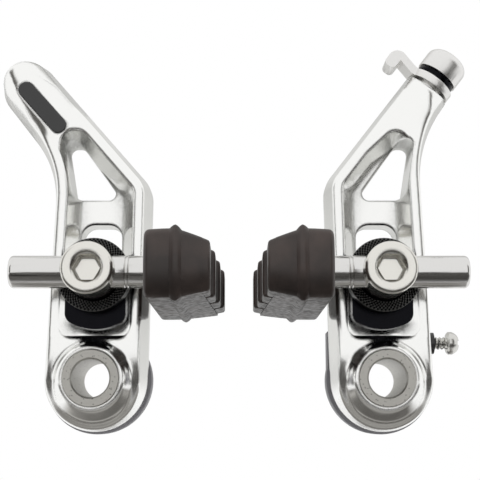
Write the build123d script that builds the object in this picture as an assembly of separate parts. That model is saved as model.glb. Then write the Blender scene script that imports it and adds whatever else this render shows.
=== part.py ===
from build123d import *
import math
import os

# Cantilever brake: two forged arms that turn on bushes, each with a brake pad on a clamped post.
# The frame has +X to the right, +Y towards the fork and +Z up. Its origin lies midway between
# the two pivot axes, on the plane where the bushes meet the fork.
# An arm is drawn with x inwards from its pivot and z up, and a depth counts forwards from the
# fork plane, towards -Y. Lengths are millimetres.

# Pivots and bushes
PIVOT_SPACING = 63.5
BUSH_LENGTH = 21.0
BUSH_OD = 12.0
BUSH_BORE = 8.1
BUSH_MOUTH = 0.35
RUN_CLEARANCE = 0.05

# Forged arm, seen from the front
BOSS_RADIUS = 11.4
ELBOW_RADIUS = 7.0
LEFT_ELBOW = (12.1, 43.1)
LEFT_BEND = (-9.6, 47.8)
LEFT_BEND_RADIUS = 22.0
LEFT_TIP = (-16.3, 66.3)
LEFT_TIP_RADIUS = 6.2
RIGHT_ELBOW = (12.4, 43.9)
RIGHT_BEND = (-9.2, 53.6)
RIGHT_BEND_RADIUS = 28.0
ANCHOR_SEAT = (-11.6, 66.3)
ANCHOR_LEAN = 37.3
ANCHOR_END_WIDTH = 10.6

# Forged arm, in depth
ARM_BACK = 6.5
PARTING_DEPTH = 11.0
RIM_DEPTH = 18.5
FLOOR_DEPTH = 12.5
FLANK_DRAFT = 10.0
RIM_EDGE = 0.8
BACK_EDGE = 1.6
RAMP_TOP = 7.0
RAMP_FOOT_DEPTH = 14.0
LEFT_BAR_RADIUS = 6.6
LEFT_BAR_FLARE = 0.15
RIGHT_BAR_RADIUS = 5.4
RIGHT_BAR_FLARE = 0.30
BAR_ROUND_LENGTH = 14.0

# Pocket in the arm's front
WALL_DRAFT = 24.0
RIM_INSET = 3.5
MOUTH_EDGE = 0.6
POCKET_BASE = 11.4
POCKET_TOP = 55.4
POCKET_CORNER = 0.3
LEFT_POCKET_SIDE = -8.3
RIGHT_POCKET_SIDE = -6.2
RIGHT_LID_LEAN = 43.0

# Raised ring round the bush, slot and window in the pocket's floor
RING_LAND = 6.9
RING_SHELF = 2.0
RING_FOOT_DEPTH = 16.6
RING_RECESS = 0.3
RING_CROWN = 1.6
RING_SKIRT = 3.0
RING_VALLEY = 1.0
SLOT_WIDTH = 9.1
SLOT_TOP = 34.6
SLOT_BOTTOM = 13.5
SLOT_CORNER = 3.0
WINDOW_CORNERS = [(-7.5, 53.4), (-4.1, 53.4), (5.4, 40.2), (-5.3, 40.2)]
WINDOW_FILLET = 1.6

# Return spring and its cover
SPRING_WIRE = 1.6
SPRING_RADIUS = 7.5
SPRING_HALF_TURNS = 5
SPRING_PITCH = 2.8
CAVITY_RADIUS = 9.0
CAVITY_DEPTH = 11.2
LEG_TOP = 9.6
LEG_ROOM = 0.3
SPRING_BEND = 0.86
TAIL_REACH = 6.0
TAIL_LEAD = 14.0
TAIL_SWEEP = 74.0
COVER_OVERHANG = 0.6
COVER_BACK = 0.4
COVER_FLOOR = 1.2
COVER_GROOVE = 0.5
COVER_TAB_TOP = 12.6
COVER_TAB_OVERHANG = 0.3
COVER_TAB_WIDTH = 3.2
COVER_TAB_CHAMFER = 1.6

# Eye bolt and what it clamps
EYE_X = 0.9
EYE_Z = 21.6
EYE_HEAD_DIAMETER = 10.8
EYE_HEAD_FRONT = 38.0
EYE_HEAD_BACK = 23.4
EYE_HEAD_EDGE = 0.7
SHANK_DIAMETER = 6.0
SHANK_END = -2.6
SHANK_CHAMFER = 0.6
SOCKET_FLATS = 5.0
SOCKET_DEPTH = 3.6
SOCKET_COUNTERSINK = 6.7
WASHER_DIAMETER = 15.7
WASHER_BACK = 22.0
BLOCK_STEP_DEPTH = 17.5
BLOCK_DROP = 11.2
NECK_GAP = 0.4
BLOCK_RISE = 6.0
BLOCK_CORNER = 2.4
TONGUE_DEPTH = 2.6
TONGUE_LENGTH = 11.0
BLOCK_LIFT = 5.0
BLOCK_DIP = 0.8
SLIDE_CLEARANCE = 0.2
HOLE_CLEARANCE = 0.2
REAR_WASHER_DIAMETER = 13.0
REAR_WASHER_THICKNESS = 2.6
NUT_FLATS = 10.0
NUT_HEIGHT = 5.0
NUT_CHAMFER = 0.7

# Pad post and pad
POST_DIAMETER = 6.8
POST_DEPTH = 30.0
POST_START = -16.0
POST_EDGE = 0.9
POST_SEAT_GAP = 0.15
POST_FLANGE_DIAMETER = 9.0
POST_FLANGE_WIDTH = 2.0
POST_FLANGE_REACH = 20.0
PAD_BACK = 13.8
PAD_LENGTH = 50.0
PAD_TOP = 26.0
PAD_BOTTOM = 13.7
PAD_ROUND = 1.6
PAD_RIDGE = 19.8
PAD_RIDGE_HEIGHT = 0.8
PAD_RIDGE_WIDTH = 2.0
PAD_FRONT = 26.3
PAD_TOP_SLOPE = 0.29
PAD_BOTTOM_SLOPE = 0.20
PAD_BLOCK_COUNT = 4
PAD_BLOCK_STEP = 0.75
PAD_GROOVE_WIDTH = 1.2
PAD_GROOVE_DEPTH = 1.6
PAD_COLLAR_DIAMETER = 9.0
PAD_COLLAR_REACH = 1.1
PAD_COLLAR_EDGE = 0.5

# Badge on the left arm and socket for the end of the link wire behind it
BADGE_LENGTH = 14.6
BADGE_WIDTH = 3.7
BADGE_THICKNESS = 0.7
BADGE_SINK = 0.3
BADGE_EDGE = 0.25
BADGE_CENTRE = (-12.3, 60.3)
BADGE_LEAN = 131.8
WIRE_SOCKET_DIAMETER = 6.6
WIRE_SOCKET_DEPTH = 5.0
WIRE_SLOT_WIDTH = 2.2

# Cable anchor on the right arm
ANCHOR_DEPTH = 12.5
PLATE_THICKNESS = 1.8
PLATE_RADIUS = 5.2
TAB_REACH = 11.6
TAB_WIDTH = 6.0
TAB_LIFT = 1.6
TAB_DROP = 1.8
TAB_LEG = 2.8
TAB_BEND = 2.2
TAB_ROUND = 1.1
CLAMP_RING_RADIUS = 4.6
CLAMP_RING_THICKNESS = 1.7
ANCHOR_HEAD_RADIUS = 4.9
ANCHOR_HEAD_HEIGHT = 5.6
ANCHOR_HEAD_ROUND = 2.2
ANCHOR_SHANK_LENGTH = 13.0

# Spring tension screw on the right arm
SCREW_Z = 8.2
SCREW_DEPTH = 9.0
SCREW_DIAMETER = 2.9
SCREW_HEAD_DIAMETER = 5.1
SCREW_HEAD_LENGTH = 2.7
SCREW_NECK = 2.9
SCREW_CROSS = (3.2, 0.8, 1.2)
INSERT_SINK = 1.2
INSERT_DIAMETER = 4.8
INSERT_THICKNESS = 1.7

BORE_RADIUS = BUSH_OD / 2 + RUN_CLEARANCE
WALL_SLOPE = math.tan(math.radians(WALL_DRAFT))
WALL_RUN = (RIM_DEPTH - FLOOR_DEPTH) * WALL_SLOPE
COVER_RADIUS = BOSS_RADIUS + COVER_OVERHANG
COVER_TAB_SIDE = BOSS_RADIUS + COVER_TAB_OVERHANG
INSERT_FACE = BOSS_RADIUS - INSERT_SINK
NECK_DROP = EYE_Z - POCKET_BASE - BLOCK_DIP - NECK_GAP
RING_FOOT = BOSS_RADIUS - RING_SHELF
WASHER_FRONT = POST_DEPTH - POST_DIAMETER / 2 - POST_SEAT_GAP
ANCHOR_AXIS = (-math.sin(math.radians(ANCHOR_LEAN)), math.cos(math.radians(ANCHOR_LEAN)))
BADGE_AXIS = (math.cos(math.radians(BADGE_LEAN)), math.sin(math.radians(BADGE_LEAN)))
INFINITE = 200.0


def at_depth(depth):
    """Plane that faces the viewer at a depth, with x inwards and y up."""
    return Plane.XZ.offset(depth)


def slab(sketch, back, front, taper=0.0):
    """Solid of a front-view sketch from one depth to another, narrowing forwards by the taper."""
    return extrude(at_depth(back) * sketch, front - back, dir=(0, -1, 0), taper=taper)


def rod(x, z, radius, back, front):
    """Round bar along the depth."""
    return slab(Pos(x, z) * Circle(radius), back, front)


def lathe(points, rounds=()):
    """Turned solid about the pivot axis from (radius, depth) points, with (point, radius) rounds."""
    profile = Polygon(*[(r, -depth) for r, depth in points], align=None)
    for (r, depth), radius in rounds:
        profile = fillet(nearest_corner(profile, (r, -depth)), radius)
    return revolve(profile, Axis.Y)


def nearest_corner(sketch, point):
    """Corner of a sketch that lies closest to a point."""
    return sketch.vertices().sort_by_distance((point[0], point[1], 0))[0]


def tangent_point(centre, radius, point, turn):
    """Where a line from a point touches a circle, on the side that the turn's sign gives."""
    dx = point[0] - centre[0]
    dz = point[1] - centre[1]
    angle = math.atan2(dz, dx) + turn * math.acos(radius / math.hypot(dx, dz))
    return (centre[0] + radius * math.cos(angle), centre[1] + radius * math.sin(angle))


def anchor_corner(side):
    """Corner of the right arm's end face, on the inner (+1) or outer (-1) side."""
    half = side * ANCHOR_END_WIDTH / 2
    return (ANCHOR_SEAT[0] + half * ANCHOR_AXIS[1], ANCHOR_SEAT[1] - half * ANCHOR_AXIS[0])


def arm_outline(is_left):
    """Front view of an arm, with a sharp elbow: the boss arc, two side lines, a slanted bar and its end."""
    elbow = LEFT_ELBOW if is_left else RIGHT_ELBOW
    bend = LEFT_BEND if is_left else RIGHT_BEND
    foot = tangent_point((0, 0), BOSS_RADIUS, elbow, -1)
    heel = tangent_point((0, 0), BOSS_RADIUS, bend, 1)
    if is_left:
        start = tangent_point(LEFT_TIP, LEFT_TIP_RADIUS, elbow, 1)
        finish = tangent_point(LEFT_TIP, LEFT_TIP_RADIUS, bend, -1)
        reach = LEFT_TIP_RADIUS
        crest = (LEFT_TIP[0] + reach * BADGE_AXIS[0], LEFT_TIP[1] + reach * BADGE_AXIS[1])
        end = ThreePointArc(start, crest, finish)
    else:
        start = anchor_corner(1)
        finish = anchor_corner(-1)
        end = Line(start, finish)
    lines = [Line(foot, elbow), Line(elbow, start), end, Line(finish, bend), Line(bend, heel)]
    outline = make_face(Curve() + lines + [ThreePointArc(heel, (0, -BOSS_RADIUS), foot)])
    return fillet(nearest_corner(outline, bend), LEFT_BEND_RADIUS if is_left else RIGHT_BEND_RADIUS)


def pocket(outline, is_left):
    """Recess in the arm's front, drawn at its floor and widening forwards by the walls' draft."""
    inset = RIM_INSET + WALL_RUN
    floor = outline & Pos(0, POCKET_TOP + inset) * half_plane(Align.CENTER, Align.MAX)
    floor = offset(floor, -inset)
    elbow = LEFT_ELBOW if is_left else RIGHT_ELBOW
    bend = LEFT_BEND if is_left else RIGHT_BEND
    heel = tangent_point((0, 0), BOSS_RADIUS, bend, 1)
    side_lean = math.degrees(math.atan2(bend[0] - heel[0], bend[1] - heel[1]))
    lid_lean = 0 if is_left else RIGHT_LID_LEAN
    side = (LEFT_POCKET_SIDE if is_left else RIGHT_POCKET_SIDE) + WALL_RUN
    apex = Pos(side, POCKET_TOP - WALL_RUN)
    floor -= apex * Rot(0, 0, -side_lean) * half_plane(Align.MAX, Align.CENTER)
    floor -= apex * Rot(0, 0, -lid_lean) * half_plane(Align.CENTER, Align.MIN)
    floor -= Pos(0, POCKET_BASE) * half_plane(Align.CENTER, Align.MAX)
    rows = floor.vertices().group_by(Axis.Y)
    floor = fillet(rows[0] + rows[-1] + [nearest_corner(floor, elbow)], POCKET_CORNER)
    return slab(floor, FLOOR_DEPTH, 2 * RIM_DEPTH - FLOOR_DEPTH, -WALL_DRAFT)


def half_plane(across, up):
    """Sheet without visible end that lies on one side of a line through the origin."""
    return Rectangle(INFINITE, INFINITE, align=(across, up))


def window_outline():
    """Rounded triangle that opens the floor above the slot."""
    shape = Polygon(*WINDOW_CORNERS, align=None)
    return fillet(shape.vertices(), WINDOW_FILLET)


def slot_outline():
    """Upright slot that the eye bolt passes through."""
    height = SLOT_TOP - SLOT_BOTTOM
    middle = (SLOT_TOP + SLOT_BOTTOM) / 2
    return Pos(EYE_X, middle) * RectangleRounded(SLOT_WIDTH, height, SLOT_CORNER)


def arm(is_left):
    """One forged arm: rims round a pocket, a ring round the bore, a slot and a window."""
    outline = arm_outline(is_left)
    plan = fillet(nearest_corner(outline, LEFT_ELBOW if is_left else RIGHT_ELBOW), ELBOW_RADIUS)
    body = slab(plan, PARTING_DEPTH, RIM_DEPTH, FLANK_DRAFT)
    body += slab(plan, ARM_BACK, PARTING_DEPTH)
    body = lowered_foot(body)
    body = fillet(body.faces().sort_by(Axis.Y)[-1].edges(), BACK_EDGE)
    body -= bar_waste(is_left)
    recess = pocket(outline, is_left)
    hollow = body - recess
    mouth = new_edges(body, recess, combined=hollow)
    body = fillet(mouth, MOUTH_EDGE)
    ring = boss_ring()
    raised = body + ring
    body = fillet(new_edges(body, ring, combined=raised), RING_VALLEY)
    body -= rod(0, 0, BORE_RADIUS, 0, BUSH_LENGTH)
    body -= rod(0, 0, CAVITY_RADIUS, 0, CAVITY_DEPTH)
    body -= leg_groove()
    body -= slab(slot_outline(), 0, RIM_DEPTH)
    body -= slab(window_outline(), 0, RIM_DEPTH)
    if is_left:
        body -= badge_shape(RIM_DEPTH - BADGE_SINK)
        body -= wire_socket()
    else:
        body -= anchor_frame() * Cylinder(
            SHANK_DIAMETER / 2 + RUN_CLEARANCE, 2 * ANCHOR_SHANK_LENGTH
        )
        body -= screw_seat()
    return body


def lowered_foot(body):
    """Curves the front down round the boss, so that the ring stands clear, and rounds its edges."""
    drop = RAMP_TOP + BOSS_RADIUS
    sink = RIM_DEPTH - RAMP_FOOT_DEPTH
    radius = (drop**2 + sink**2) / (2 * sink)
    zone = Pos(-RIM_DEPTH, RAMP_TOP) * Rectangle(4 * sink, 2 * drop, align=(Align.CENTER, Align.MAX))
    curve = Pos(radius - RIM_DEPTH, RAMP_TOP) * Circle(radius)
    body -= extrude(Plane.YZ * (zone - curve), 2 * BOSS_RADIUS, both=True)
    flat = body.faces().sort_by(Axis.Y)[0]
    ramp = body.faces().filter_by(GeomType.CYLINDER).filter_by(lambda face: abs(face.radius - radius) < 0.01)
    edges = (flat.edges() + ramp[0].edges()).filter_by(Axis.X, reverse=True)
    return fillet(edges, RIM_EDGE)


def bar_waste(is_left):
    """What is taken off round the slanted bar: all that lies outside a cone along its axis."""
    tip = LEFT_TIP if is_left else ANCHOR_SEAT
    axis = BADGE_AXIS if is_left else ANCHOR_AXIS
    radius = LEFT_BAR_RADIUS if is_left else RIGHT_BAR_RADIUS
    grown = radius + BAR_ROUND_LENGTH * (LEFT_BAR_FLARE if is_left else RIGHT_BAR_FLARE)
    length = 2 * BAR_ROUND_LENGTH
    cone = Cone(2 * radius - grown, grown, length)
    frame = Plane(origin=(tip[0], -ANCHOR_DEPTH, tip[1]), z_dir=(-axis[0], 0, -axis[1]))
    return frame * (Box(2 * length, 2 * length, length) - cone)


def boss_ring():
    """Domed ring round the bush, filled up to its axis."""
    top = BUSH_LENGTH - RING_RECESS
    return lathe(
        [
            (0, ARM_BACK),
            (RING_FOOT, ARM_BACK),
            (RING_FOOT, RING_FOOT_DEPTH),
            (RING_LAND, top),
            (0, top),
        ],
        [((RING_LAND, top), RING_CROWN), ((RING_FOOT, RING_FOOT_DEPTH), RING_SKIRT)],
    )


def leg_groove():
    """Groove behind the arm that takes the upright leg of the spring."""
    width = SPRING_WIRE + 2 * LEG_ROOM
    shape = Pos(-SPRING_RADIUS, 0) * Rectangle(
        width, LEG_TOP + LEG_ROOM, align=(Align.CENTER, Align.MIN)
    )
    return slab(shape, 0, CAVITY_DEPTH)


def bush():
    """Plain steel bush that the fork's boss passes through."""
    half = BUSH_BORE / 2
    return lathe(
        [
            (half, 0),
            (BUSH_OD / 2, 0),
            (BUSH_OD / 2, BUSH_LENGTH),
            (half + BUSH_MOUTH, BUSH_LENGTH),
            (half, BUSH_LENGTH - BUSH_MOUTH),
        ]
    )


def spring_cover(is_left):
    """Cup behind the arm that closes the spring's room, with a notch for the spring's tail."""
    plan = Circle(COVER_RADIUS)
    if not is_left:
        tab = Pos(COVER_TAB_SIDE, 0) * Rectangle(
            COVER_TAB_WIDTH, COVER_TAB_TOP, align=(Align.MAX, Align.MIN)
        )
        tab = chamfer(nearest_corner(tab, (COVER_TAB_SIDE, COVER_TAB_TOP)), COVER_TAB_CHAMFER)
        plan += tab
    cup = slab(plan, COVER_BACK, ARM_BACK)
    rear = cup.faces().sort_by(Axis.Y)[-1]
    cup = chamfer(rear.edges(), COVER_GROOVE)
    cup -= rod(0, 0, CAVITY_RADIUS, COVER_BACK + COVER_FLOOR, ARM_BACK)
    cup -= rod(0, 0, BORE_RADIUS, 0, ARM_BACK)
    reach = SPRING_RADIUS + SPRING_WIRE / 2 + LEG_ROOM
    notch = Polygon((0, 0), (reach, 0), (reach, -ARM_BACK), (0, -ARM_BACK), align=None)
    return cup - Rot(0, -TAIL_LEAD, 0) * revolve(notch, Axis.Y, TAIL_SWEEP)


def return_spring():
    """Torsion spring: a coil, a leg up the arm at its front and a tail into the fork's hole.
    Each half turn of the coil is an arc that leans by half the pitch, so that the next one runs on."""
    wire = SPRING_WIRE / 2
    rise = SPRING_PITCH / 2
    first = CAVITY_DEPTH - LEG_ROOM - wire
    last = first - SPRING_HALF_TURNS * rise
    reach = math.hypot(SPRING_RADIUS, rise / 2)
    lean = math.degrees(math.atan2(rise / 2, SPRING_RADIUS))
    half_turn = revolve(Pos(-reach, 0) * Circle(wire), Axis.Y.reverse(), 180)
    leg = Cylinder(wire, LEG_TOP, align=(Align.CENTER, Align.CENTER, Align.MIN))
    spring = Pos(-SPRING_RADIUS, -first, 0) * (leg + Sphere(SPRING_BEND))
    for turn in range(SPRING_HALF_TURNS):
        middle = first - (turn + 0.5) * rise
        spring += Pos(0, -middle, 0) * Rot(0, 180 * turn, 0) * Rot(0, 0, lean) * half_turn
    spring += Pos(SPRING_RADIUS, -last, 0) * Sphere(SPRING_BEND)
    return spring + rod(SPRING_RADIUS, 0, wire, -TAIL_REACH, last)


def eye_bolt():
    """Bolt with a cross hole for the post and a hexagon socket in its head."""
    head = rod(0, 0, EYE_HEAD_DIAMETER / 2, EYE_HEAD_BACK, EYE_HEAD_FRONT)
    head = fillet(head.edges().filter_by(GeomType.CIRCLE).sort_by(Axis.Y)[0], EYE_HEAD_EDGE)
    shank = rod(0, 0, SHANK_DIAMETER / 2, SHANK_END, EYE_HEAD_BACK)
    bolt = head + chamfer(shank.edges().filter_by(GeomType.CIRCLE).sort_by(Axis.Y)[-1], SHANK_CHAMFER)
    bolt -= hex_socket(EYE_HEAD_FRONT)
    post_hole = Cylinder(POST_DIAMETER / 2 + RUN_CLEARANCE, 2 * EYE_HEAD_DIAMETER, rotation=(0, 90, 0))
    bolt -= Pos(0, -POST_DEPTH, 0) * post_hole
    return Pos(EYE_X, 0, EYE_Z) * bolt


def hex_socket(front):
    """Hexagon recess with a countersunk mouth, about the depth axis."""
    corner = SOCKET_FLATS / math.sqrt(3)
    recess = slab(RegularPolygon(corner, 6), front - SOCKET_DEPTH, front)
    wide = SOCKET_COUNTERSINK / 2
    narrow = SOCKET_FLATS / 2
    foot = front - (wide - narrow)
    return recess + lathe([(0, front), (wide, front), (narrow, foot), (0, foot)])


def serrated_washer():
    """Hard ring that bites the post, round the eye bolt's head."""
    ring = rod(EYE_X, EYE_Z, WASHER_DIAMETER / 2, WASHER_BACK, WASHER_FRONT)
    return ring - rod(EYE_X, EYE_Z, EYE_HEAD_DIAMETER / 2 + HOLE_CLEARANCE, WASHER_BACK, WASHER_FRONT)


def side_x(z, is_inner):
    """Where an arm's side line stands at a height, on the narrower of the two arms."""
    turn = -1 if is_inner else 1
    places = []
    for corner in [LEFT_ELBOW, RIGHT_ELBOW] if is_inner else [LEFT_BEND, RIGHT_BEND]:
        foot = tangent_point((0, 0), BOSS_RADIUS, corner, turn)
        share = (z - foot[1]) / (corner[1] - foot[1])
        places.append(abs(foot[0] + share * (corner[0] - foot[0])))
    return min(places)


def block_half_width(depth):
    """Half of the guide block's width that the pocket takes at a depth, over the whole travel."""
    wall = RIM_INSET + (RIM_DEPTH - depth) * WALL_SLOPE
    inner = side_x(EYE_Z - BLOCK_DROP, True) - wall - EYE_X
    outer = side_x(EYE_Z + BLOCK_RISE + BLOCK_LIFT, False) - wall + EYE_X
    return min(inner, outer) - SLIDE_CLEARANCE


def guide_block():
    """Block that slides in the pocket, with a tongue in the slot that keeps it upright."""
    disc = Circle(BLOCK_DROP) & Pos(0, BLOCK_RISE) * half_plane(Align.CENTER, Align.MAX)
    wide = disc & Rectangle(2 * block_half_width(BLOCK_STEP_DEPTH), INFINITE)
    wide = fillet(wide.vertices(), BLOCK_CORNER)
    neck = wide & Rectangle(2 * block_half_width(FLOOR_DEPTH), 2 * NECK_DROP)
    block = slab(wide, BLOCK_STEP_DEPTH, WASHER_BACK) + slab(neck, FLOOR_DEPTH, BLOCK_STEP_DEPTH)
    tongue = RectangleRounded(SLOT_WIDTH - 2 * SLIDE_CLEARANCE, TONGUE_LENGTH, SLOT_CORNER)
    block += slab(tongue, FLOOR_DEPTH - TONGUE_DEPTH, FLOOR_DEPTH)
    block -= rod(0, 0, SHANK_DIAMETER / 2 + HOLE_CLEARANCE, 0, WASHER_BACK)
    return Pos(EYE_X, 0, EYE_Z) * block


def rear_washer():
    """Thick plain washer on the arm's rear face."""
    front = ARM_BACK
    ring = rod(EYE_X, EYE_Z, REAR_WASHER_DIAMETER / 2, front - REAR_WASHER_THICKNESS, front)
    return ring - rod(EYE_X, EYE_Z, SHANK_DIAMETER / 2 + HOLE_CLEARANCE, 0, front)


def clamp_nut():
    """Hexagon nut on the eye bolt's rear end."""
    front = ARM_BACK - REAR_WASHER_THICKNESS
    corner = NUT_FLATS / math.sqrt(3)
    shape = RegularPolygon(corner, 6) - Circle(SHANK_DIAMETER / 2)
    crown = rod(0, 0, corner, front - NUT_HEIGHT, front)
    crown = chamfer(crown.edges().filter_by(GeomType.CIRCLE).sort_by(Axis.Y)[-1], NUT_CHAMFER)
    return Pos(EYE_X, 0, EYE_Z) * (slab(shape, front - NUT_HEIGHT, front) & crown)


def pad_post():
    """Plain round post with a flange that the pad is moulded round."""
    profile = Polygon(
        (POST_START, 0),
        (POST_START, POST_DIAMETER / 2),
        (POST_FLANGE_REACH - POST_FLANGE_WIDTH, POST_DIAMETER / 2),
        (POST_FLANGE_REACH - POST_FLANGE_WIDTH, POST_FLANGE_DIAMETER / 2),
        (POST_FLANGE_REACH, POST_FLANGE_DIAMETER / 2),
        (POST_FLANGE_REACH, 0),
        align=None,
    )
    profile = fillet(nearest_corner(profile, (POST_START, POST_DIAMETER / 2)), POST_EDGE)
    return Pos(0, -POST_DEPTH, EYE_Z) * revolve(profile, Axis.X)


def pad_block(face, far, near):
    """Stretch of the pad from its ridge to a friction face, between two depths."""
    run = face - PAD_RIDGE
    section = Polygon(
        (PAD_RIDGE, PAD_BOTTOM),
        (PAD_RIDGE, PAD_TOP),
        (face, PAD_TOP - run * PAD_TOP_SLOPE),
        (face, PAD_BOTTOM + run * PAD_BOTTOM_SLOPE),
        align=None,
    )
    return slab(section, far, near)


def pad_ridge():
    """Bead that runs all round the pad, with both its edges cut to a slope."""
    height = PAD_TOP - PAD_BOTTOM + 2 * PAD_RIDGE_HEIGHT
    bead = Box(PAD_RIDGE_WIDTH, PAD_LENGTH + 2 * PAD_RIDGE_HEIGHT, height)
    sides = bead.faces().filter_by(Axis.X).edges()
    bead = chamfer(sides, PAD_RIDGE_HEIGHT)
    return Pos(PAD_RIDGE, -POST_DEPTH, (PAD_TOP + PAD_BOTTOM) / 2) * bead


def brake_pad():
    """Rubber pad round the post's flange: a rounded back, a bead and four blocks that toe in."""
    far = POST_DEPTH - PAD_LENGTH / 2
    near = POST_DEPTH + PAD_LENGTH / 2
    plan = Pos(PAD_BACK, PAD_BOTTOM) * Rectangle(
        PAD_RIDGE - PAD_BACK, PAD_TOP - PAD_BOTTOM, align=(Align.MIN, Align.MIN)
    )
    pad = slab(plan, far, near)
    pad = fillet(pad.faces().sort_by(Axis.X)[0].edges(), PAD_ROUND)
    pitch = PAD_LENGTH / PAD_BLOCK_COUNT
    for block in range(PAD_BLOCK_COUNT):
        front = near - block * pitch
        pad += pad_block(PAD_FRONT + block * PAD_BLOCK_STEP, front - pitch, front)
    for block in range(1, PAD_BLOCK_COUNT):
        root = PAD_FRONT + block * PAD_BLOCK_STEP - PAD_GROOVE_DEPTH
        front = near - block * pitch
        groove = Pos(root, 0) * half_plane(Align.MIN, Align.CENTER)
        pad -= slab(groove, front, front + PAD_GROOVE_WIDTH)
    pad += pad_ridge()
    collar = Cylinder(
        PAD_COLLAR_DIAMETER / 2,
        PAD_COLLAR_REACH + PAD_ROUND,
        rotation=(0, 90, 0),
        align=(Align.CENTER, Align.CENTER, Align.MIN),
    )
    collar = fillet(collar.edges().sort_by(Axis.X)[0], PAD_COLLAR_EDGE)
    pad += Pos(PAD_BACK - PAD_COLLAR_REACH, -POST_DEPTH, EYE_Z) * collar
    bore = POST_DIAMETER / 2 + RUN_CLEARANCE
    flange = POST_FLANGE_DIAMETER / 2 + RUN_CLEARANCE
    flange_start = POST_FLANGE_REACH - POST_FLANGE_WIDTH - RUN_CLEARANCE
    flange_end = POST_FLANGE_REACH + RUN_CLEARANCE
    room = Polygon(
        (0, 0),
        (0, bore),
        (flange_start, bore),
        (flange_start, flange),
        (flange_end, flange),
        (flange_end, 0),
        align=None,
    )
    return pad - Pos(0, -POST_DEPTH, EYE_Z) * revolve(room, Axis.X)


def badge_shape(back):
    """Flat stadium plate on the front of the left bar, from a depth forwards."""
    plan = Pos(*BADGE_CENTRE) * Rot(0, 0, BADGE_LEAN) * SlotOverall(BADGE_LENGTH, BADGE_WIDTH)
    plate = slab(plan, back, back + BADGE_THICKNESS)
    return fillet(plate.faces().sort_by(Axis.Y)[0].edges(), BADGE_EDGE)


def wire_socket():
    """Blind round socket behind the left tip with a slot inwards for the link wire."""
    reach = 2 * LEFT_TIP_RADIUS
    cut = rod(*LEFT_TIP, WIRE_SOCKET_DIAMETER / 2, 0, ARM_BACK + WIRE_SOCKET_DEPTH)
    slot = Rectangle(reach, WIRE_SLOT_WIDTH, align=(Align.MIN, Align.CENTER))
    turned = Pos(*LEFT_TIP) * Rot(0, 0, -ANCHOR_LEAN) * slot
    return cut + slab(turned, 0, ARM_BACK + WIRE_SOCKET_DEPTH)


def anchor_frame():
    """Frame of the cable anchor: z along the bolt, x towards the tab, on the arm's end face."""
    return Plane(
        origin=(ANCHOR_SEAT[0], -ANCHOR_DEPTH, ANCHOR_SEAT[1]),
        x_dir=(ANCHOR_AXIS[1], 0, -ANCHOR_AXIS[0]),
        z_dir=(ANCHOR_AXIS[0], 0, ANCHOR_AXIS[1]),
    )


def hook_plate():
    """Clamp plate under the bolt with a tab that lifts off the arm and ends in a down-turned hook."""
    inner = TAB_REACH - TAB_LEG
    inner_lift = TAB_LIFT * (inner - PLATE_RADIUS) / (TAB_REACH - PLATE_RADIUS)
    profile = Polygon(
        (0, 0),
        (0, PLATE_THICKNESS),
        (PLATE_RADIUS, PLATE_THICKNESS),
        (TAB_REACH, PLATE_THICKNESS + TAB_LIFT),
        (TAB_REACH, -TAB_DROP),
        (inner, -TAB_DROP),
        (inner, inner_lift),
        (PLATE_RADIUS, 0),
        align=None,
    )
    profile = fillet(nearest_corner(profile, (TAB_REACH, PLATE_THICKNESS + TAB_LIFT)), TAB_BEND)
    for x in (TAB_REACH, inner):
        profile = fillet(nearest_corner(profile, (x, -TAB_DROP)), TAB_ROUND)
    tab = extrude(Plane.XZ * profile, TAB_WIDTH / 2, both=True)
    disc = Cylinder(PLATE_RADIUS, PLATE_THICKNESS, align=(Align.CENTER, Align.CENTER, Align.MIN))
    hole = Cylinder(SHANK_DIAMETER / 2 + RUN_CLEARANCE, INFINITE)
    return anchor_frame() * (tab + disc - hole)


def clamp_ring():
    """Dark ring that presses the cable on the hook plate."""
    ring = Circle(CLAMP_RING_RADIUS) - Circle(SHANK_DIAMETER / 2 + RUN_CLEARANCE)
    return anchor_frame() * Pos(0, 0, PLATE_THICKNESS) * extrude(ring, CLAMP_RING_THICKNESS)


def anchor_bolt():
    """Round-headed bolt with a hexagon socket that clamps the cable."""
    seat = PLATE_THICKNESS + CLAMP_RING_THICKNESS
    head = extrude(Circle(ANCHOR_HEAD_RADIUS), ANCHOR_HEAD_HEIGHT)
    head = fillet(head.edges().sort_by(Axis.Z)[-1], ANCHOR_HEAD_ROUND)
    head -= Pos(0, 0, ANCHOR_HEAD_HEIGHT - SOCKET_DEPTH) * extrude(
        RegularPolygon(SOCKET_FLATS / math.sqrt(3), 6), SOCKET_DEPTH
    )
    shank = Cylinder(SHANK_DIAMETER / 2, ANCHOR_SHANK_LENGTH, align=(Align.CENTER, Align.CENTER, Align.MAX))
    return anchor_frame() * Pos(0, 0, seat) * (head + shank)


def outward_rod(radius, start, reach):
    """Round bar along -x on the tension screw's axis, between two distances from the pivot."""
    bar = Cylinder(radius, reach - start, align=(Align.CENTER, Align.CENTER, Align.MIN))
    return Pos(-start, -SCREW_DEPTH, SCREW_Z) * Rot(0, -90, 0) * bar


def screw_seat():
    """Spot face and through hole for the tension screw in the right arm's outer side."""
    start = SPRING_RADIUS + SPRING_WIRE / 2
    reach = BOSS_RADIUS + INSERT_DIAMETER
    hole = outward_rod(SCREW_DIAMETER / 2 + RUN_CLEARANCE, start, reach)
    return hole + outward_rod(INSERT_DIAMETER / 2 + HOLE_CLEARANCE, INSERT_FACE, reach)


def screw_insert():
    """Nylon disc that keeps the tension screw from turning by itself."""
    end = INSERT_FACE + INSERT_THICKNESS
    disc = outward_rod(INSERT_DIAMETER / 2, INSERT_FACE, end)
    return disc - outward_rod(SCREW_DIAMETER / 2 + RUN_CLEARANCE, INSERT_FACE, end)


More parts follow.
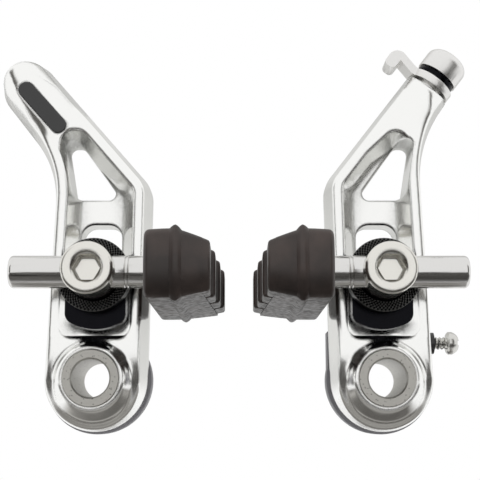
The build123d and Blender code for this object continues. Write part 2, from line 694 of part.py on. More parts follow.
def tension_screw():
    """Pan-head screw that presses on the spring's leg."""
    tip = SPRING_RADIUS + SPRING_WIRE / 2 + RUN_CLEARANCE
    under_head = INSERT_FACE + INSERT_THICKNESS + SCREW_NECK
    end = under_head + SCREW_HEAD_LENGTH
    screw = outward_rod(SCREW_DIAMETER / 2, tip, under_head)
    screw += outward_rod(SCREW_HEAD_DIAMETER / 2, under_head, end)
    length, width, depth = SCREW_CROSS
    for size in [(depth, length, width), (depth, width, length)]:
        screw -= Pos(-end + depth / 2, -SCREW_DEPTH, SCREW_Z) * Box(*size)
    return screw


def place(shape, is_left):
    """Puts a shape drawn from its own pivot on the left or, mirrored, on the right pivot."""
    if is_left:
        return Pos(-PIVOT_SPACING / 2, 0, 0) * shape
    return Pos(PIVOT_SPACING / 2, 0, 0) * mirror(shape, about=Plane.YZ)


def pieces(is_left):
    """Every piece of one arm by its plain name."""
    made = {
        "arm": arm(is_left),
        "pivot_bush": bush(),
        "spring_cover": spring_cover(is_left),
        "return_spring": return_spring(),
        "eye_bolt": eye_bolt(),
        "serrated_washer": serrated_washer(),
        "guide_block": guide_block(),
        "rear_washer": rear_washer(),
        "clamp_nut": clamp_nut(),
        "pad_post": pad_post(),
        "brake_pad": brake_pad(),
    }
    if is_left:
        made["badge_plate"] = badge_shape(RIM_DEPTH - BADGE_SINK)
    else:
        made["hook_plate"] = hook_plate()
        made["clamp_ring"] = clamp_ring()
        made["anchor_bolt"] = anchor_bolt()
        made["screw_insert"] = screw_insert()
        made["tension_screw"] = tension_screw()
    return made


os.makedirs("parts", exist_ok=True)
for side, is_left in [("left", True), ("right", False)]:
    for name, shape in pieces(is_left).items():
        export_step(place(shape, is_left), f"parts/{side}_{name}.step")
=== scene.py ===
import math

import bmesh
import bpy
import numpy as np
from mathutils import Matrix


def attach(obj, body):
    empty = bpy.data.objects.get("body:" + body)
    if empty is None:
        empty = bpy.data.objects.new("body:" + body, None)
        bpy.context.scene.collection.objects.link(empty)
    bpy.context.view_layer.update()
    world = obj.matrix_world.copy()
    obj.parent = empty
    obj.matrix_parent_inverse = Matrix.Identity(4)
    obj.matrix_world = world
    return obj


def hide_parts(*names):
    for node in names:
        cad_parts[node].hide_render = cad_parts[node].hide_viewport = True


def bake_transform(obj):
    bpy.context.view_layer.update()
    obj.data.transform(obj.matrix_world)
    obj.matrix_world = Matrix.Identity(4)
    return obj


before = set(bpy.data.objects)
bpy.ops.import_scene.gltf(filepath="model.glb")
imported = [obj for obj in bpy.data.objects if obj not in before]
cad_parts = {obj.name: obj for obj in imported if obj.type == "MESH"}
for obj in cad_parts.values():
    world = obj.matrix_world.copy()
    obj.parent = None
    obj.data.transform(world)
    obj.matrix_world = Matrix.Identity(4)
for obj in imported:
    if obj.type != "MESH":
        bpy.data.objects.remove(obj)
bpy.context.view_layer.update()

# Pivot bushes: plain sleeves of sintered steel that slip over the fork's bosses.
# Pressing and turning leave a dull grey face with small dark pores in it.

MM = 0.001  # shapes are written in millimetres; a size times MM is in metres
SIDES = ("left", "right")
WELD_GAP = 0.002 * MM
EDGE_ANGLE = math.radians(35)
EDGE_STEPS = 2
PORE_SPACING = 0.7 * MM  # drawn coarser than the real pores lie, so that they show
PORE_TONES = (("#6a6864", 0.10), ("#c2c0ba", 0.24))
GRIT_STRENGTH = 0.12
GRIT_HEIGHT = 0.1 * MM


def linear(hex_color):
    """Linear RGBA of an sRGB hex colour."""
    channels = [int(hex_color[i : i + 2], 16) / 255 for i in (1, 3, 5)]
    bent = [c / 12.92 if c <= 0.04045 else ((c + 0.055) / 1.055) ** 2.4 for c in channels]
    return (*bent, 1.0)


def add(tree, kind, sockets=None, stops=(), **settings):
    """Adds a node with its own settings. A socket takes a value or the output that feeds it, and
    a ramp's stops take their colours and places."""
    made = tree.nodes.new(kind)
    for key, value in settings.items():
        setattr(made, key, value)
    for key, value in (sockets or {}).items():
        if isinstance(value, bpy.types.NodeSocket):
            tree.links.new(value, made.inputs[key])
        else:
            made.inputs[key].default_value = value
    for number, (color, position) in enumerate(stops):
        made.color_ramp.elements[number].color = linear(color)
        made.color_ramp.elements[number].position = position
    return made


def finish_of(name, color, metallic, roughness):
    """New material with its even values on the shader, which patterns may then vary. Returns the
    material, its node tree, its shader and the piece's Object coordinates."""
    material = bpy.data.materials.new(name)
    material.use_nodes = True
    tree = material.node_tree
    shader = tree.nodes["Principled BSDF"]
    shader.inputs["Base Color"].default_value = linear(color)
    shader.inputs["Metallic"].default_value = metallic
    shader.inputs["Roughness"].default_value = roughness
    place = add(tree, "ShaderNodeTexCoord").outputs["Object"]
    return material, tree, shader, place


def dress(material, *names, edge=0.0):
    """Gives a material to the solids of these names on either arm, and rounds their edges by so
    many millimetres."""
    wanted = [f"{side}_{name}" for side in SIDES for name in names]
    for solid in [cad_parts[name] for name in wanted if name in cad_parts]:
        solid.material_slots[0].material = material
        if edge:
            weld = solid.modifiers.new("weld", "WELD")
            weld.merge_threshold = WELD_GAP
            bevel = solid.modifiers.new("soft_edges", "BEVEL")
            bevel.width = edge * MM
            bevel.segments = EDGE_STEPS
            bevel.limit_method = "ANGLE"
            bevel.angle_limit = EDGE_ANGLE
            bevel.harden_normals = True


sintered, tree, shader, place = finish_of("sintered_steel", "#bebcb7", 0.85, 0.4)
pores = add(tree, "ShaderNodeTexVoronoi", {"Vector": place, "Scale": 1 / PORE_SPACING})
spots = add(tree, "ShaderNodeValToRGB", {"Fac": pores.outputs["Distance"]}, stops=PORE_TONES)
tree.links.new(spots.outputs["Color"], shader.inputs["Base Color"])
grit = add(
    tree,
    "ShaderNodeTexNoise",
    {"Vector": place, "Scale": 1 / PORE_SPACING, "Detail": 4.0},
)
rise = add(
    tree,
    "ShaderNodeBump",
    {"Height": grit.outputs["Fac"], "Strength": GRIT_STRENGTH, "Distance": GRIT_HEIGHT},
)
tree.links.new(rise.outputs["Normal"], shader.inputs["Normal"])
dress(sintered, "pivot_bush")

# Return springs: hard drawn steel wire wound behind the arms, with a light oil on it.
# Each has a leg up its arm and a tail in the fork's hole, so its coil twists as the arm swings.
# The draw leaves faint streaks and a soft grey shine.

HALF_SPACING = 31.75
SMOOTH_ANGLE = math.radians(38)
WIRE_RADIUS = 0.8
WIRE_SIDES = 14
COIL_RADIUS = 7.5
COIL_HALF_TURNS = 5
COIL_FRONT = 10.1
COIL_RISE = 1.4
COIL_STEPS = 121
LEG_TOP = 9.6
LEG_STEPS = 5
TAIL_BEND = 1.2
TAIL_REACH = 6.0
TAIL_STEPS = 8
WIRE_STREAK = 0.3 * MM  # drawn coarser than it is, so that it shows
WIRE_SHINE = (0.24, 0.44)


def stand(points, side):
    """Metres in the shared frame from (inwards, depth, up) millimetres about one arm's pivot."""
    inwards, depth, up = np.moveaxis(np.asarray(points, dtype=float), -1, 0)
    turn = 1 if side == "left" else -1
    return np.stack([turn * (inwards - HALF_SPACING), -depth, up], axis=-1) * MM


def skin(name, shells, material, body, replaced, slot, wear=None):
    """One piece from shells of rings: each ring joins the next by quads. A shell that is marked
    as a loop joins its last ring to its first, and any other has its end rings closed by a face.
    Wear, where it is given, is kept on the points for the material. A piece without a body is
    left for a blend."""
    points, faces, start = [], [], 0
    for rings, is_loop in shells:
        rows, count = rings.shape[:2]
        index = start + np.arange(rows * count).reshape(rows, count)
        near = index if is_loop else index[:-1]
        far = np.roll(index, -1, axis=0) if is_loop else index[1:]
        corners = [near, np.roll(near, -1, axis=1), np.roll(far, -1, axis=1), far]
        faces += np.stack(corners, axis=-1).reshape(-1, 4).tolist()
        if not is_loop:
            faces += [index[0].tolist(), index[-1].tolist()]
        points.append(rings.reshape(-1, 3))
        start += rows * count
    mesh = bpy.data.meshes.new(name)
    mesh.from_pydata(np.concatenate(points).tolist(), [], faces)
    shape = bmesh.new()
    shape.from_mesh(mesh)
    bmesh.ops.recalc_face_normals(shape, faces=shape.faces)
    shape.to_mesh(mesh)
    shape.free()
    mesh.polygons.foreach_set("use_smooth", np.ones(len(mesh.polygons), dtype=bool))
    mesh.set_sharp_from_angle(angle=SMOOTH_ANGLE)
    if wear is not None:
        kept = mesh.attributes.new("wear", "FLOAT", "POINT")
        kept.data.foreach_set("value", wear.ravel())
    mesh.materials.append(material)
    piece = bpy.data.objects.new(name, mesh)
    bpy.context.scene.collection.objects.link(piece)
    if body:
        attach(piece, body)
    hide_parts(replaced)
    return piece


def spring_rings():
    """Round wire carried along a path: down the leg, round a helix about the pivot that goes back
    by an even rise each half turn, through a quarter bend and along the tail. The wire's circles
    stand on the way out from the pivot and on that way crossed with the path."""
    end = COIL_HALF_TURNS * np.pi - math.asin(TAIL_BEND / COIL_RADIUS)
    turn = np.concatenate([np.zeros(LEG_STEPS), np.linspace(0, end, COIL_STEPS)])
    lift = np.concatenate([np.linspace(LEG_TOP, 0, LEG_STEPS + 1)[:-1], np.zeros(COIL_STEPS)])
    depth = COIL_FRONT - COIL_RISE * turn / np.pi
    height = lift - COIL_RADIUS * np.sin(turn)
    coil = np.stack([-COIL_RADIUS * np.cos(turn), depth, height], axis=-1)
    bend = np.linspace(0, np.pi / 2, TAIL_STEPS)[1:]
    out = coil[-1, 0] + (COIL_RADIUS - coil[-1, 0]) * np.sin(bend)
    back = depth[-1] - TAIL_BEND * (1 - np.cos(bend))
    tail = np.stack([out, back, TAIL_BEND * (np.sin(bend) - 1)], axis=-1)
    path = np.concatenate([coil, tail, [[COIL_RADIUS, -TAIL_REACH, 0]]])
    angle = np.concatenate([turn, np.full(bend.size + 1, COIL_HALF_TURNS * np.pi)])
    outward = np.stack([-np.cos(angle), np.zeros(angle.size), -np.sin(angle)], axis=-1)
    ahead = np.gradient(path, axis=0)
    across = np.cross(ahead, outward)
    across /= np.linalg.norm(across, axis=1, keepdims=True)
    outward = np.cross(across, ahead)
    outward /= np.linalg.norm(outward, axis=1, keepdims=True)
    round_wire = np.linspace(0, 2 * np.pi, WIRE_SIDES, endpoint=False)[None, :, None]
    ring = np.cos(round_wire) * outward[:, None] + np.sin(round_wire) * across[:, None]
    return path[:, None] + WIRE_RADIUS * ring


def wander(tree, shader, place, size, shine, detail):
    """Roughness that wanders between two values by a noise of one size, with so many finer
    layers on it. Returns the noise."""
    noise = add(tree, "ShaderNodeTexNoise", {"Vector": place, "Scale": 1 / size, "Detail": detail})
    span = {"Value": noise.outputs["Fac"], "To Min": shine[0], "To Max": shine[1]}
    uneven = add(tree, "ShaderNodeMapRange", span)
    tree.links.new(uneven.outputs["Result"], shader.inputs["Roughness"])
    return noise.outputs["Fac"]


spring_wire, tree, shader, place = finish_of("drawn_spring_wire", "#8d8c8a", 1.0, 0.32)
wander(tree, shader, place, WIRE_STREAK, WIRE_SHINE, detail=3.0)
for side in SIDES:
    wire = [(stand(spring_rings(), side), False)]
    replaced = (f"{side}_return_spring", "plain_steel")
    coil = skin(f"{side}_wound_spring", wire, spring_wire, None, *replaced)
    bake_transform(coil)

# Arms: bars of forged aluminium with a pocket and a boss, buffed to a bright polish.
# The buff rounds the edges and leaves faint waves. It can't reach into the pockets, where the
# forging's duller and speckled skin stays; its colour there is also darkened by occlusion, which is
# painted shade.

SHADE_SAMPLES = 8
POCKET_REACH = 6.0 * MM
POCKET_OPEN = 0.85
POCKET_CLOSED = 0.45
FORGE_SPECKLE = 0.55 * MM  # drawn coarser than it is, so that it shows
SKIN_AND_SHADE_TONES = (("#f5f5f3", 0.05), ("#a2a39e", 0.6))
SKIN_DULLNESS = 0.42
SKIN_METALLIC = 0.5
SKIN_STRENGTH = 0.5
SKIN_HEIGHT = 0.15 * MM
BUFF_SCRATCH = 0.25 * MM  # drawn coarser than real scratches, so that they show
BUFF_SHINE = (0.08, 0.2)
BUFF_EDGE = 1.3 * MM
BUFF_WAVE = 5.0 * MM
WAVE_STRENGTH = 0.3
WAVE_HEIGHT = 0.2 * MM
polished, tree, shader, place = finish_of("polished_forged_aluminium", "#f5f5f3", 1.0, 0.13)

# The raw skin is where the arm closes a point in: dull and speckled, and greyer there as painted
# shade.
occlusion = add(
    tree,
    "ShaderNodeAmbientOcclusion",
    {"Distance": POCKET_REACH},
    only_local=True,
    samples=SHADE_SAMPLES,
)
raw_and_shaded = add(
    tree,
    "ShaderNodeMapRange",
    {"Value": occlusion.outputs["AO"], "From Min": POCKET_OPEN, "From Max": POCKET_CLOSED},
).outputs["Result"]
speckle = add(
    tree,
    "ShaderNodeTexNoise",
    {"Vector": place, "Scale": 1 / FORGE_SPECKLE, "Detail": 4.0},
)
mottle_and_shade = add(
    tree,
    "ShaderNodeMath",
    {0: raw_and_shaded, 1: speckle.outputs["Fac"]},
    operation="MULTIPLY",
).outputs["Value"]
# The skin's colour darkens where the arm closes in: painted shade on top of the raw skin's speckle.
tone = add(tree, "ShaderNodeValToRGB", {"Fac": mottle_and_shade}, stops=SKIN_AND_SHADE_TONES)
tree.links.new(tone.outputs["Color"], shader.inputs["Base Color"])
scratch = add(
    tree,
    "ShaderNodeTexNoise",
    {"Vector": place, "Scale": 1 / BUFF_SCRATCH, "Detail": 3.0},
)
haze = add(
    tree,
    "ShaderNodeMapRange",
    {"Value": scratch.outputs["Fac"], "To Min": BUFF_SHINE[0], "To Max": BUFF_SHINE[1]},
)
dull = add(
    tree,
    "ShaderNodeMath",
    {0: raw_and_shaded, 1: SKIN_DULLNESS, 2: haze.outputs["Result"]},
    operation="MULTIPLY_ADD",
)
tree.links.new(dull.outputs["Value"], shader.inputs["Roughness"])
oxide = add(tree, "ShaderNodeMapRange", {"Value": raw_and_shaded, "To Min": 1.0, "To Max": SKIN_METALLIC})
tree.links.new(oxide.outputs["Result"], shader.inputs["Metallic"])
rounded = add(tree, "ShaderNodeBevel", {"Radius": BUFF_EDGE}, samples=SHADE_SAMPLES)

# The real pocket's walls slope gently beside the guide block, so their shading leans to the front
# there. Each pair is where the lean is none and where it is full.
LEAN_SHARE = 0.92
LEAN_ASIDE = (9.6, 9.0)
LEAN_FRONT = (-18.8, -18.2)
LEAN_BACK = (-11.5, -12.2)
LEAN_TOP = (24.0, 19.0)
LEAN_FOOT = (8.6, 9.4)
spot = add(tree, "ShaderNodeSeparateXYZ", {"Vector": place})
outward = add(tree, "ShaderNodeMath", {0: spot.outputs["X"]}, operation="ABSOLUTE")
outset = add(
    tree,
    "ShaderNodeMath",
    {0: outward.outputs["Value"], 1: HALF_SPACING * MM},
    operation="SUBTRACT",
).outputs["Value"]
aside = add(tree, "ShaderNodeMath", {0: outset}, operation="ABSOLUTE").outputs["Value"]
ways = [aside] + [spot.outputs[axis] for axis in "YYZZ"]
limits = (LEAN_ASIDE, LEAN_FRONT, LEAN_BACK, LEAN_TOP, LEAN_FOOT)
lean = LEAN_SHARE
for way, (none, full) in zip(ways, limits):
    span = {"Value": way, "From Min": none * MM, "From Max": full * MM}
    share = add(tree, "ShaderNodeMapRange", span).outputs["Result"]
    factors = {0: lean, 1: share}
    lean = add(tree, "ShaderNodeMath", factors, operation="MULTIPLY").outputs["Value"]

# The real bars are crowned across their fronts, so their shading tilts to either side of the bar's
# middle line, the left one's more. Each pair is for the left arm and the right one.
CROWNS = (0.95, 0.4)
CROWN_MIDDLES = (-26.7 * MM, -30.5 * MM)
CROWN_HALF = 6.5 * MM
CROWN_START = 46.0 * MM
CROWN_FULL = 54.0 * MM
ACROSS_X, ACROSS_Z = 0.8, -0.6
over = add(tree, "ShaderNodeCombineXYZ", {"X": outset, "Y": spot.outputs["Z"]}).outputs["Vector"]
across, along = [
    add(tree, "ShaderNodeVectorMath", {0: over, 1: axis}, operation="DOT_PRODUCT").outputs["Value"]
    for axis in ((ACROSS_X, ACROSS_Z, 0.0), (-ACROSS_Z, ACROSS_X, 0.0))
]
hands = {"Value": spot.outputs["X"], "From Min": -MM, "From Max": MM}
middle, crown = [
    add(tree, "ShaderNodeMapRange", {**hands, "To Min": left, "To Max": right}).outputs["Result"]
    for left, right in (CROWN_MIDDLES, CROWNS)
]
off_middle = add(tree, "ShaderNodeMath", {0: across, 1: middle}, operation="SUBTRACT")
tilt = add(
    tree,
    "ShaderNodeMapRange",
    {
        "Value": off_middle.outputs["Value"],
        "From Min": -CROWN_HALF,
        "From Max": CROWN_HALF,
        "To Min": -1.0,
    },
).outputs["Result"]
reach = add(
    tree,
    "ShaderNodeMapRange",
    {"Value": along, "From Min": CROWN_START, "From Max": CROWN_FULL},
    interpolation_type="SMOOTHSTEP",
).outputs["Result"]
for factor in (crown, reach):
    factors = {0: tilt, 1: factor}
    tilt = add(tree, "ShaderNodeMath", factors, operation="MULTIPLY").outputs["Value"]
hand = add(tree, "ShaderNodeMath", {0: spot.outputs["X"]}, operation="SIGN").outputs["Value"]
side_way = add(tree, "ShaderNodeMath", {0: hand, 1: ACROSS_X}, operation="MULTIPLY")
sideways = add(
    tree,
    "ShaderNodeCombineXYZ",
    {"X": side_way.outputs["Value"], "Z": ACROSS_Z},
)
turned = add(
    tree,
    "ShaderNodeVectorTransform",
    {"Vector": sideways.outputs["Vector"]},
    vector_type="VECTOR",
    convert_from="OBJECT",
    convert_to="WORLD",
)
tipped = add(
    tree,
    "ShaderNodeVectorMath",
    {0: turned.outputs["Vector"], "Scale": tilt},
    operation="SCALE",
)
crowned = add(
    tree,
    "ShaderNodeVectorMath",
    {0: rounded.outputs["Normal"], 1: tipped.outputs["Vector"]},
    operation="ADD",
)

# A vector Mix node has its factor, its two vectors and its result at these places.
FACTOR, FIRST, SECOND, RESULT = 0, 4, 5, 1
TO_FRONT = (0.0, -1.0, 0.0)
leant = add(
    tree,
    "ShaderNodeMix",
    {FACTOR: lean, FIRST: crowned.outputs["Vector"], SECOND: TO_FRONT},
    data_type="VECTOR",
)
facing = add(tree, "ShaderNodeVectorMath", {0: leant.outputs[RESULT]}, operation="NORMALIZE")
wave = add(tree, "ShaderNodeTexNoise", {"Vector": place, "Scale": 1 / BUFF_WAVE, "Detail": 2.0})
normal = facing.outputs["Vector"]
for height, strength, distance in (
    (wave.outputs["Fac"], WAVE_STRENGTH, WAVE_HEIGHT),
    (mottle_and_shade, SKIN_STRENGTH, SKIN_HEIGHT),
):
    relief = {"Height": height, "Strength": strength, "Distance": distance, "Normal": normal}
    normal = add(tree, "ShaderNodeBump", relief).outputs["Normal"]
tree.links.new(normal, shader.inputs["Normal"])
dress(polished, "arm")

# Spring covers: grey moulded cups that close the springs' rooms behind the arms.
# The mould's fine grain keeps them dull beside the polished arms.

COVER_EDGE = 0.2
MOULD_GRAIN = 0.4 * MM  # drawn coarser than it is, so that it shows
MOULD_STRENGTH = 0.15
MOULD_HEIGHT = 0.05 * MM
moulded, tree, shader, place = finish_of("moulded_grey_nylon", "#87868a", 0.0, 0.48)
grain = add(tree, "ShaderNodeTexNoise", {"Vector": place, "Scale": 1 / MOULD_GRAIN, "Detail": 3.0})
rise = add(
    tree,
    "ShaderNodeBump",
    {"Height": grain.outputs["Fac"], "Strength": MOULD_STRENGTH, "Distance": MOULD_HEIGHT},
)
tree.links.new(rise.outputs["Normal"], shader.inputs["Normal"])
dress(moulded, "spring_cover", edge=COVER_EDGE)

# Badge plate: a thin black plastic plate, bare, glued into the left bar. The screw's insert is of
# the same plastic. It is moulded smooth, with a slight haze from handling.

HAZE_SIZE = 2.0 * MM
PLATE_SHINE = (0.25, 0.4)
black_plastic, tree, shader, place = finish_of("smooth_black_plastic", "#2c2c2c", 0.0, 0.3)
wander(tree, shader, place, HAZE_SIZE, PLATE_SHINE, detail=3.0)
dress(black_plastic, "badge_plate", "screw_insert")

# Guide blocks: blackened steel blocks that slide in the arms' pockets. The clamp ring is alike.
# The oxide is a deep black with a low oily shine.

BLOCK_EDGE = 0.3
OXIDE_CLOUD = 1.5 * MM
OXIDE_SHINE = (0.16, 0.34)
blackened, tree, shader, place = finish_of("blackened_steel", "#17171a", 1.0, 0.3)
wander(tree, shader, place, OXIDE_CLOUD, OXIDE_SHINE, detail=4.0)
dress(blackened, "guide_block", "clamp_ring", edge=BLOCK_EDGE)

# Serrated washers: hardened black rings whose knurled front face bites the post.
# The knurl's points are lighter, partly as oxide rubbed off and partly as painted glints, and the
# outer edge is a painted highlight line.
# The knurl is drawn about a third coarser than it is, so that it shows.

EYE_IN, EYE_UP = 0.9, 21.6
WASHER_INNER = 5.6
WASHER_OUTER = 7.85
WASHER_BACK = 22.0
WASHER_FRONT = 26.45
WASHER_EDGE = 0.22
WASHER_FACE_STEPS = 19
KNURL_COUNT = 58
KNURL_STEPS = 8
KNURL_PITCH = 0.75
KNURL_DEPTH = 0.3
KNURL_WEAR_AND_GLINT_TONES = (("#101012", 0.5), ("#7d7d7b", 1.0))
KNURL_SHINE = (0.22, 0.42)


def washer_rings():
    """Ring turned round the eye bolt's axis from a closed section of radius and depth. The front
    face sinks between two sets of waves that slant opposite ways round it, a diamond knurl. The
    wear, which lightens the colour, is the height of the waves' crests, part rubbed oxide and part
    painted glint, and full along the outer edge, a painted highlight."""
    face_ends = (WASHER_INNER + WASHER_EDGE, WASHER_OUTER - WASHER_EDGE)
    face = np.linspace(*face_ends, WASHER_FACE_STEPS)
    lowered = WASHER_FRONT - WASHER_EDGE
    rim = [WASHER_OUTER, WASHER_OUTER, WASHER_OUTER - WASHER_EDGE]
    radius = np.concatenate([[WASHER_INNER, WASHER_INNER], face, rim])
    side = [lowered, WASHER_BACK + WASHER_EDGE, WASHER_BACK]
    depth = np.concatenate([[WASHER_BACK, lowered], np.full(face.size, WASHER_FRONT), side])
    turn = np.linspace(0, 2 * np.pi, KNURL_COUNT * KNURL_STEPS, endpoint=False)
    round_wave = KNURL_COUNT * turn[None, :]
    out_wave = 2 * np.pi * radius[:, None] / KNURL_PITCH
    ridge = np.maximum(np.cos(round_wave + out_wave), np.cos(round_wave - out_wave))
    is_face = (depth == WASHER_FRONT)[:, None]
    sunk = KNURL_DEPTH * (0.5 - 0.5 * ridge) * is_face
    x = EYE_IN + radius[:, None] * np.cos(turn)
    z = EYE_UP + radius[:, None] * np.sin(turn)
    wear = np.clip(ridge, 0, 1) ** 2 * is_face
    is_edge = depth == lowered
    # Full on the outer edge: a painted highlight line.
    wear[is_edge] = np.where(radius[is_edge] == WASHER_OUTER, 1.0, 0.0)[:, None]
    return np.stack([x, depth[:, None] - sunk, z], axis=-1), wear


serrated, tree, shader, place = finish_of("blackened_knurled_steel", "#141416", 1.0, 0.36)
worn = add(tree, "ShaderNodeAttribute", attribute_name="wear")
# Lighter on worn points: part rubbed oxide, part painted glints, and a painted highlight on the
# outer edge.
tone = add(tree, "ShaderNodeValToRGB", {"Fac": worn.outputs["Fac"]}, stops=KNURL_WEAR_AND_GLINT_TONES)
tree.links.new(tone.outputs["Color"], shader.inputs["Base Color"])
wander(tree, shader, place, OXIDE_CLOUD, KNURL_SHINE, detail=4.0)
rings, wear = washer_rings()
for side in SIDES:
    ring = [(stand(rings, side), True)]
    carried = (f"{side}_clamp", f"{side}_serrated_washer", "black_steel")
    skin(f"{side}_knurled_ring", ring, serrated, *carried, wear=wear)

# Eye bolts, nuts and washers: cold headed and turned steel, bright zinc plated.
# Turning marks under the plating draw the highlights out into fine lines, with a warm tint.
# Tumbling before the plating rounds their edges.

TURNING_PITCH = 0.25 * MM  # drawn coarser than it is, so that it shows
TUMBLED_EDGE = 1.0 * MM
PLATED_SHINE = (0.1, 0.24)
plated, tree, shader, place = finish_of("bright_plated_steel", "#e2e0da", 1.0, 0.16)
wander(tree, shader, place, TURNING_PITCH, PLATED_SHINE, detail=2.0)
rounded = add(tree, "ShaderNodeBevel", {"Radius": TUMBLED_EDGE}, samples=SHADE_SAMPLES)
tree.links.new(rounded.outputs["Normal"], shader.inputs["Normal"])
dress(plated, "eye_bolt", "clamp_nut", "rear_washer")

# Pad posts: drawn steel rods, bright plated, that the eye bolts clamp, with two fine turned rings.
# Drawing leaves long streaks that break the reflections lengthwise.

POST_DEPTH = 30.0
POST_RADIUS = 3.4
POST_START = -16.0
POST_EDGE = 0.9
POST_RINGS = (8.2, 8.9)
POST_RING_WIDTH = 0.4
POST_RING_DEPTH = 0.16
POST_ARC_STEPS = 9
POST_SIDES = 64
FLANGE_RADIUS = 4.5
FLANGE_WIDTH = 2.0
FLANGE_REACH = 20.0
DRAW_LENGTH = 12.0 * MM
DRAW_WIDTH = 0.5 * MM  # drawn coarser than it is, so that it shows
DRAW_SHINE = (0.08, 0.26)
DRAW_STRENGTH = 0.3
DRAW_HEIGHT = 0.06 * MM


def turned_about_post(x, radius, sides):
    """Rings of these radii at these places along the post's axis."""
    turn = np.linspace(0, 2 * np.pi, sides, endpoint=False)
    along = np.broadcast_to(x[:, None], (x.size, sides))
    depth = POST_DEPTH + radius[:, None] * np.cos(turn)
    return np.stack([along, depth, EYE_UP + radius[:, None] * np.sin(turn)], axis=-1)


def post_rings():
    """Rings along the post: its radius rises by a quarter round at the free end, dips by a
    squared cosine in each turned ring, and steps out to the flange that the pad holds."""
    rise = np.linspace(0, np.pi / 2, POST_ARC_STEPS)
    dip = np.linspace(-POST_RING_WIDTH / 2, POST_RING_WIDTH / 2, POST_ARC_STEPS)
    dips = [ring + dip for ring in POST_RINGS]
    shoulder = FLANGE_REACH - FLANGE_WIDTH
    x = np.concatenate([POST_START + POST_EDGE * (1 - np.cos(rise)), *dips, [shoulder]])
    end = POST_RADIUS - POST_EDGE * (1 - np.sin(rise))
    radius = np.concatenate([end, np.full(x.size - end.size, POST_RADIUS)])
    away = np.min(np.abs(x[:, None] - np.array(POST_RINGS)), axis=1) / POST_RING_WIDTH
    radius -= POST_RING_DEPTH * np.cos(np.pi * np.clip(away, 0, 0.5)) ** 2
    x = np.concatenate([x, [shoulder, FLANGE_REACH]])
    radius = np.concatenate([radius, [FLANGE_RADIUS, FLANGE_RADIUS]])
    return turned_about_post(x, radius, POST_SIDES)


drawn, tree, shader, place = finish_of("drawn_plated_steel", "#dddcda", 1.0, 0.14)
stretched = add(
    tree,
    "ShaderNodeMapping",
    {"Vector": place, "Scale": (1 / DRAW_LENGTH, 1 / DRAW_WIDTH, 1 / DRAW_WIDTH)},
)
streak = wander(tree, shader, stretched.outputs["Vector"], 1.0, DRAW_SHINE, detail=3.0)
rise = add(
    tree,
    "ShaderNodeBump",
    {"Height": streak, "Strength": DRAW_STRENGTH, "Distance": DRAW_HEIGHT},
)
tree.links.new(rise.outputs["Normal"], shader.inputs["Normal"])
for side in SIDES:
    rod = [(stand(post_rings(), side), False)]
    carried = (f"{side}_post", f"{side}_pad_post", "plated_steel")
    skin(f"{side}_turned_post", rod, drawn, *carried)

# Brake pads: rubber compound moulded round the posts, with a bead where the mould halves meet.
# Grooves part the friction side into four blocks. The skin has a soft sheen and fine grain, and
# the underside is scuffed.

PAD_HALF_LENGTH = 25.0
PAD_BACK = 13.8
PAD_FRONT = 26.3
PAD_TOP = 27.0
PAD_BOTTOM = 13.7
PAD_BACK_FALL = 0.06
PAD_SLOPES = (0.39, 0.20)
PAD_ROUND = 1.0
PAD_CORNERS = (1.3, 1.4, 0.7)
PAD_CROWN = 1.3
PAD_CHEEK = 0.4
PAD_CHEEK_CENTRE = 3.7
PAD_CHEEK_HALF = 2.6
PAD_RIDGE = 19.8
PAD_RIDGE_HEIGHT = 0.6
PAD_RIDGE_HALF = 1.15
PAD_EDGE_STEPS = 9
PAD_RIDGE_STEPS = 15
PAD_SIDE_STEPS = 8
PAD_BLOCKS = 4
PAD_BLOCK_STEP = 0.75
PAD_BLOCK_ROUND = 0.45
PAD_BLOCK_CORNER = 0.55
PAD_BLOCK_INSET = 0.02
PAD_BLOCK_SINK = 0.4
PAD_GROOVE_WIDTH = 1.2
PAD_GROOVE_DEPTH = 1.6
COLLAR_RADIUS = 4.5
COLLAR_REACH = 1.1
COLLAR_SINK = 0.8
COLLAR_EDGE = 0.6
COLLAR_SIDES = 48
FINE_STEPS = 6


def rounded_loops(x, middle, half, radius):
    """Rounded rectangles square to x, one for each place along it: a corner of each quarter, set
    in by the radius, plus a quarter circle of that radius, then evenly along the side to the next
    quarter. Depth comes first, then height."""
    steps = PAD_SIDE_STEPS
    quarter = np.repeat(np.arange(4), steps)
    angle = (quarter + np.tile(np.linspace(0, 1, steps), 4)) * np.pi / 2
    corner = np.stack([np.array([1, -1, -1, 1])[quarter], np.array([1, 1, -1, -1])[quarter]])
    around = np.stack([np.cos(angle), np.sin(angle)])
    reach = (half - radius)[:, :, None] * corner[:, None, :]
    arcs = middle[:, :, None] + reach + radius[None, :, None] * around[:, None, :]
    arcs = arcs.reshape(2, x.size, 4, steps)
    run = np.roll(arcs[..., 0], -1, axis=-1) - arcs[..., -1]
    sides = arcs[..., -1:] + run[..., None] * np.linspace(0, 1, steps)[1:-1]
    flat = np.concatenate([arcs, sides], axis=-1).reshape(2, x.size, -1)
    along = np.broadcast_to(x[:, None], flat.shape[1:])
    return np.stack([along, flat[0], flat[1]], axis=-1)


def pad_heights(x):
    """Top and bottom of the pad at a distance from the pivot: the top rises a little to the bead,
    the bottom is level that far, and both taper beyond it."""
    run = np.maximum(x - PAD_RIDGE, 0)
    fall = PAD_BACK_FALL * np.maximum(PAD_RIDGE - x, 0)
    return PAD_TOP - fall - PAD_SLOPES[0] * run, PAD_BOTTOM + PAD_SLOPES[1] * run


